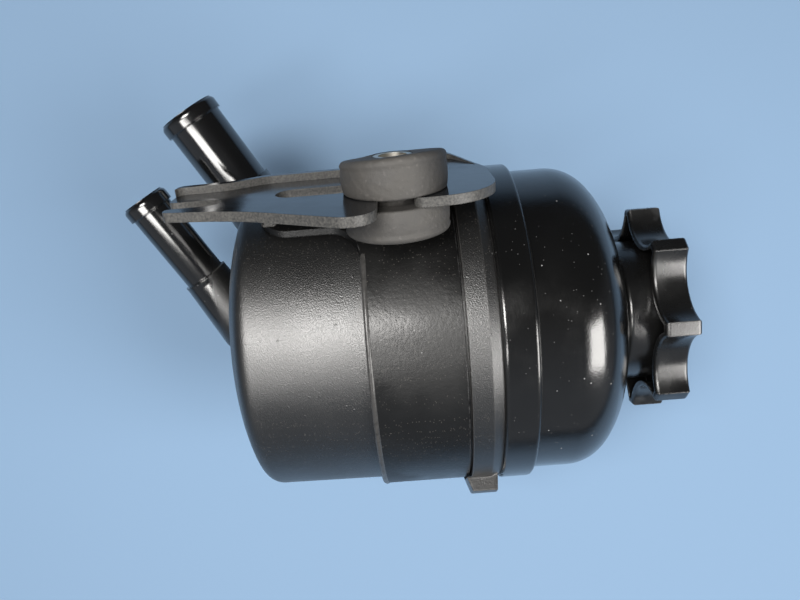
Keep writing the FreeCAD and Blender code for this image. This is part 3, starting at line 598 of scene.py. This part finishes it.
def disc_profile(face, foot):
    """(height, radius) points of one disc: flat face, quarter round, parabola for the wall, round, flat foot."""
    sign = 1 if face > foot else -1
    points = [(face, BORE_R + (DISC_R - RIM_ROUND - BORE_R) * share) for share in np.linspace(0, 1, 8)]
    points += [(face - sign * RIM_ROUND * (1 - math.sin(a)), DISC_R - RIM_ROUND * (1 - math.cos(a)))
               for a in np.radians(np.linspace(80, 0, 9))]
    wall = np.linspace(face - sign * RIM_ROUND, foot + sign * FOOT_ROUND, 14)[1:]
    wall_middle = (wall[0] + wall[-1]) / 2
    wall_half = abs(wall[0] - wall[-1]) / 2
    points += [(h, DISC_R - BELLY * ((h - wall_middle) / wall_half) ** 2) for h in wall]
    foot_r = DISC_R - BELLY - FOOT_ROUND
    points += [(foot + sign * FOOT_ROUND * (1 - math.sin(a)), foot_r + FOOT_ROUND * math.cos(a))
               for a in np.radians(np.linspace(20, 90, 5))]
    points += [(foot, CORE_R + (foot_r - CORE_R) * share) for share in np.linspace(0.8, 0, 5)]
    return points

print("disc radius", round(DISC_R / MM, 2), "mm, bore radius", round(BORE_R / MM, 2), "mm")

# %% Leaning rubber grommet
PROUD = 0.1 * MM
LEAN_NEAR = 0.12
LEAN_RIGHT = -0.055
LEAN_CURVE = 1.5
LEAN_FADE = 4 * MM
LUMP = 0.06 * MM
LUMP_FADE = 3 * MM
RUBBER_SIDES = 160
upper_h = -rubber_low[0] + PROUD
lower_h = -rubber_high[0]
profile = np.array(disc_profile(upper_h, 0.0) + disc_profile(lower_h, -PLATE_T)[::-1])
heights = profile[:, :1]
radii = profile[:, 1:]
turn = np.linspace(0, TURN, RUBBER_SIDES, endpoint=False)[None, :]
side_y = radii * np.cos(turn)
side_z = radii * np.sin(turn)
lean = np.clip(heights / upper_h, 0, 1) ** LEAN_CURVE * -(LEAN_NEAR * side_y + LEAN_RIGHT * side_z)
lean = lean * np.clip((radii - BORE_R) / LEAN_FADE, 0, 1)
lumps = LUMP * np.sin(3 * turn + 1.0) * np.clip((radii - CORE_R) / LUMP_FADE, 0, 1)
grommet_points = np.stack([-(heights + lean + lumps), side_y, side_z], axis=-1)
grommet = grid_piece("leaning_grommet", grommet_points, False, True, "reservoir", "grommet_rubber")
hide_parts("mount_grommet")

# %% [markdown]
# ### Threads
#
# The clamp screw is a fully threaded hexagon screw. A boolean cut would leave ragged ends, and a Screw modifier
# can't fade out. So its thread is a wave of the radius that climbs by one pitch a turn, and the wave fades at the
# tip. The head is one ring of points whose radius follows a hexagon, with its corners chamfered.

# %% Shank of the clamp screw
washer_mid = middle("clamp_washer")
nut_mid = middle("clamp_nut")
SCREW_AXIS = (washer_mid - nut_mid) / np.linalg.norm(washer_mid - nut_mid)
SCREW_SIDE = np.cross(SCREW_AXIS, [0, 0, 1])
UP = np.array([0.0, 0.0, 1.0])
WASHER_T = 1.4 * MM
NUT_HALF = 3.0 * MM
SCREW_TAIL = 3.5 * MM
SCREW_R = 3.0 * MM
SCREW_PITCH = 1.0 * MM
THREAD_DEPTH = 0.55 * MM
THREAD_STEP = 0.125 * MM
FLANK = 1.25
ROOT = 0.12
SCREW_SIDES = 60
under_head = washer_mid + SCREW_AXIS * WASHER_T / 2
shank_end = nut_mid - SCREW_AXIS * (NUT_HALF + SCREW_TAIL)
shank_length = float(np.dot(under_head - shank_end, SCREW_AXIS))

def round_screw(along, radius, angle):
    """Points at distances along the screw from under its head, at a radius and an angle."""
    return (under_head + along[..., None] * SCREW_AXIS + (radius * np.cos(angle))[..., None] * SCREW_SIDE
            + (radius * np.sin(angle))[..., None] * UP)

screw_turn = np.linspace(0, TURN, SCREW_SIDES, endpoint=False)[None, :]
depth = -np.linspace(0, shank_length, int(shank_length / THREAD_STEP))[:, None]
phase = (depth / SCREW_PITCH - screw_turn / TURN) % 1.0
wave = np.clip(np.abs(2 * phase - 1) * FLANK - ROOT, 0, 1)
fade = np.clip((shank_length + depth) / SCREW_PITCH, 0, 1)
shank_r = (SCREW_R - THREAD_DEPTH) + THREAD_DEPTH * wave * fade
shank_r = np.vstack([shank_r, np.zeros((1, SCREW_SIDES))])
depth = np.vstack([depth, depth[-1:]])
shank_points = round_screw(depth + 0 * screw_turn, shank_r, screw_turn + 0 * depth)
grid_piece("screw_shank", shank_points, False, True, "reservoir", "zinc_steel")
print("screw", round(shank_length / MM, 1), "mm under its head")

# %% Head of the clamp screw
ACROSS = 10.0 * MM
HEAD_H = 4.0 * MM
CHAMFER_SHARE = 0.94
DISH_SHARE = 0.9
UNDER_GAP = 0.02 * MM
CORNER = math.radians(30)
hex_r = (ACROSS / 2) / np.cos((screw_turn + CORNER) % (TURN / 6) - CORNER)
chamfer_r = CHAMFER_SHARE * ACROSS / 2
drop = (hex_r - chamfer_r) * math.tan(CORNER)
even = np.ones_like(hex_r)
head_r = np.vstack([0 * even, 0.5 * chamfer_r * even, chamfer_r * even, hex_r, hex_r, 0 * even])
head_z = np.vstack([DISH_SHARE * HEAD_H * even, DISH_SHARE * HEAD_H * even, HEAD_H * even, HEAD_H - drop,
                    UNDER_GAP * even, UNDER_GAP * even])
head_points = round_screw(head_z, head_r, screw_turn + 0 * head_r)
head = grid_piece("screw_head", head_points, False, True, "reservoir", "zinc_steel")
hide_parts("clamp_screw")

# %% [markdown]
# ### Neck thread
#
# The filler neck carries a coarse, rounded thread for the cap. It shows once the cap is off. A wave of the
# radius, as on the screw, would need a whole new neck. So a strip with four corners is carried along a helix on
# the neck, and its ends fade out, as they do where a mould opens.

# %% Thread of the filler neck
THREAD_PITCH = 3.6 * MM
THREAD_TURNS = 2.2
THREAD_START = 2.2 * MM
NECK_R = 17.9 * MM
THREAD_H = 0.60 * MM
THREAD_ROOT = -0.3 * MM
THREAD_HALF = 0.9 * MM
END_ANGLE = 0.5
END_SHARE = 0.02
HELIX_STEPS = 420
helix = np.linspace(0, THREAD_TURNS * TURN, HELIX_STEPS)
taper = np.clip(np.minimum(helix, helix[-1] - helix) / END_ANGLE, END_SHARE, 1)
section = ((THREAD_ROOT, -1.0), (THREAD_H, -0.45), (THREAD_H, 0.45), (THREAD_ROOT, 1.0))
rows = []
for height, half_width in section:
    reach = NECK_R + np.where(height > 0, height * taper, height)
    level = NECK_TOP - THREAD_START - THREAD_PITCH * helix / TURN + half_width * THREAD_HALF
    rows.append(round_axis(reach, helix, level))
grid_piece("neck_thread", np.stack(rows), True, False, "reservoir", "shell_plastic")

# %% [markdown]
# ### The filter's spring
#
# The filter element lifts off its seat against a spring when its medium is clogged. The spring has a closed turn
# at each end, ground flat, and open turns between. A bevelled curve would give the wire, but not the flat ends.
# So the wire's height is worked out: its closed pitch, plus a rise that is shared out over the open turns only,
# held between the two flats.

# %% Coil spring
WIRE_R = 0.9 * MM
CLOSED_PITCH = 1.95 * MM
SPRING_TURNS = 6.0
OPEN_HALF = 2.1
OPEN_EASE = 0.5
WIRE_TIP = 0.02
COIL_STEPS = 480
WIRE_SIDES = 20
spring_low = low_corner("filter_spring")
spring_high = high_corner("filter_spring")
coil_r = (spring_high[1] - spring_low[1]) / 2 - WIRE_R
coil_turn = np.linspace(0, SPRING_TURNS, COIL_STEPS)
open_share = np.clip((OPEN_HALF - np.abs(coil_turn - SPRING_TURNS / 2)) / OPEN_EASE, 0, 1)
open_run = np.cumsum(open_share) / np.sum(open_share)
wire_low = spring_low[2] + WIRE_R / 2
wire_high = spring_high[2] - WIRE_R / 2
open_rise = wire_high - wire_low - CLOSED_PITCH * SPRING_TURNS
wire_z = (wire_low + CLOSED_PITCH * coil_turn + open_rise * open_run)[None, :]
coil_angle = (coil_turn * TURN)[None, :]
wire_turn = np.linspace(0, TURN, WIRE_SIDES, endpoint=False)[:, None]
wire_r = np.full((1, COIL_STEPS), WIRE_R)
wire_r[0, [0, -1]] = WIRE_TIP * WIRE_R
reach = coil_r + wire_r * np.cos(wire_turn)
ground_z = np.clip(wire_z + wire_r * np.sin(wire_turn), spring_low[2], spring_high[2])
spring_points = round_axis(reach, coil_angle, ground_z)
spring = grid_piece("coil_spring", spring_points, True, False, "reservoir", SLOTS["filter_spring"])
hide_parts("filter_spring")
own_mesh(spring)

# %% [markdown]
# ### Welds
#
# The three webs under the plate are welded to plate and band. A weld bead could be a plain round string, but then
# it looks like a wire. Here the string's radius swells and shrinks with each step of the electrode, with a little
# chance on top, and it narrows at both ends. The random numbers come from a seed, so each run is the same.

# %% Weld beads
BEAD_R = 0.9 * MM
BEAD_STEP = 1.2 * MM
BEAD_END = 1.2 * MM
BEAD_TIP = 0.01
BEAD_SIDES = 14
SWELL = 0.14
CHANCE = 0.05
rng = np.random.default_rng(7)

def bead(name, path, outward):
    """Tube round a path of points, whose radius swells as the size of a sine; outward is away from the joint."""
    steps = np.linalg.norm(np.diff(path, axis=0), axis=1)
    run = np.concatenate([[0], np.cumsum(steps)])
    swell = 1 + SWELL * np.abs(np.sin(math.pi * run / BEAD_STEP)) + CHANCE * rng.standard_normal(len(run))
    swell *= np.sqrt(np.clip(np.minimum(run, run[-1] - run) / BEAD_END, BEAD_TIP, 1))
    heading = np.gradient(path, axis=0)
    heading /= np.linalg.norm(heading, axis=1)[:, None]
    across = np.cross(heading, outward)
    across /= np.linalg.norm(across, axis=1)[:, None]
    lift = np.cross(across, heading)
    turn = np.linspace(0, TURN, BEAD_SIDES, endpoint=False)[:, None, None]
    points = path + BEAD_R * swell[:, None] * (np.cos(turn) * across + np.sin(turn) * lift)
    grid_piece(name, points, True, False, "reservoir", "plate_coat")

# %% Beads on plate and band along each web
WEB_NEAR_Y = 11.9 * MM
WEB_FAR_Y = 26.0 * MM
WEB_T = 2.3 * MM
WEB_LOWS = (SADDLE_LOW + 1.9 * MM, BAND_BOTTOM - 4.2 * MM, BAND_TOP - 3.0 * MM)
SLOPE = 0.7
PATH_STEPS = 60
web_y = np.linspace(WEB_NEAR_Y, WEB_FAR_Y, PATH_STEPS)
for number, web_low in enumerate(WEB_LOWS):
    for side, sign, z in (("left", -1, web_low), ("right", 1, web_low + WEB_T)):
        if side == "right" and number == len(WEB_LOWS) - 1:
            continue
        plate_path = np.stack([0 * web_y + PLATE_T, web_y, 0 * web_y + z], axis=-1)
        bead(f"plate_bead_{number}_{side}", plate_path, np.array([SLOPE, 0, SLOPE * sign]))
        band_x = AXIS[0] - np.sqrt(BAND_R ** 2 - (web_y - AXIS[1]) ** 2)
        band_path = np.stack([band_x, web_y, 0 * web_y + z], axis=-1)
        bead(f"band_bead_{number}_{side}", band_path, np.array([-SLOPE, 0, SLOPE * sign]))

# %% [markdown]
# ### Coat along the band's edge
#
# Coating flows back from a sheared edge and sets as a low bead beside it. In the photograph it is the light line
# at the band's left end. Bump alone would not catch the light along the outline, so the bead is a real strip of
# half-round section. It follows the edge on both sides of the ears, a little uneven in height, and fades out
# where the band flares into the saddle.

# %% Coat bead of the band
COAT_W = 1.4 * MM
COAT_H = 0.28 * MM
COAT_ROOT = 0.08 * MM
COAT_ROUND = 0.7
COAT_STEP = 0.75
COAT_FADE = 0.06
COAT_ROWS = 9
COAT_ENDS = {"coat_bead_long": (-138.0, 71.0), "coat_bead_short": (89.0, 138.0)}
share = np.linspace(0, 1, COAT_ROWS)[:, None]
for name, (start, end) in COAT_ENDS.items():
    edge_angle = np.radians(np.arange(start, end, COAT_STEP))[None, :]
    from_end = np.minimum(edge_angle - edge_angle[:, :1], edge_angle[:, -1:] - edge_angle)
    uneven = 1 + 0.12 * np.sin(23 * edge_angle) + 0.10 * np.sin(57 * edge_angle + 1.3)
    coat_height = COAT_H * uneven * np.clip(from_end / COAT_FADE, 0, 1) + COAT_ROOT
    reach = BAND_R - COAT_ROOT + coat_height * np.sin(math.pi * share) ** COAT_ROUND
    coat_points = round_axis(reach, edge_angle, BAND_BOTTOM + COAT_W * share)
    # The strip wears the coat bead surface, whose lighter colour is a painted highlight.
    wear(grid_piece(name, coat_points, False, False, "reservoir", "band_coat"), "coat_bead")
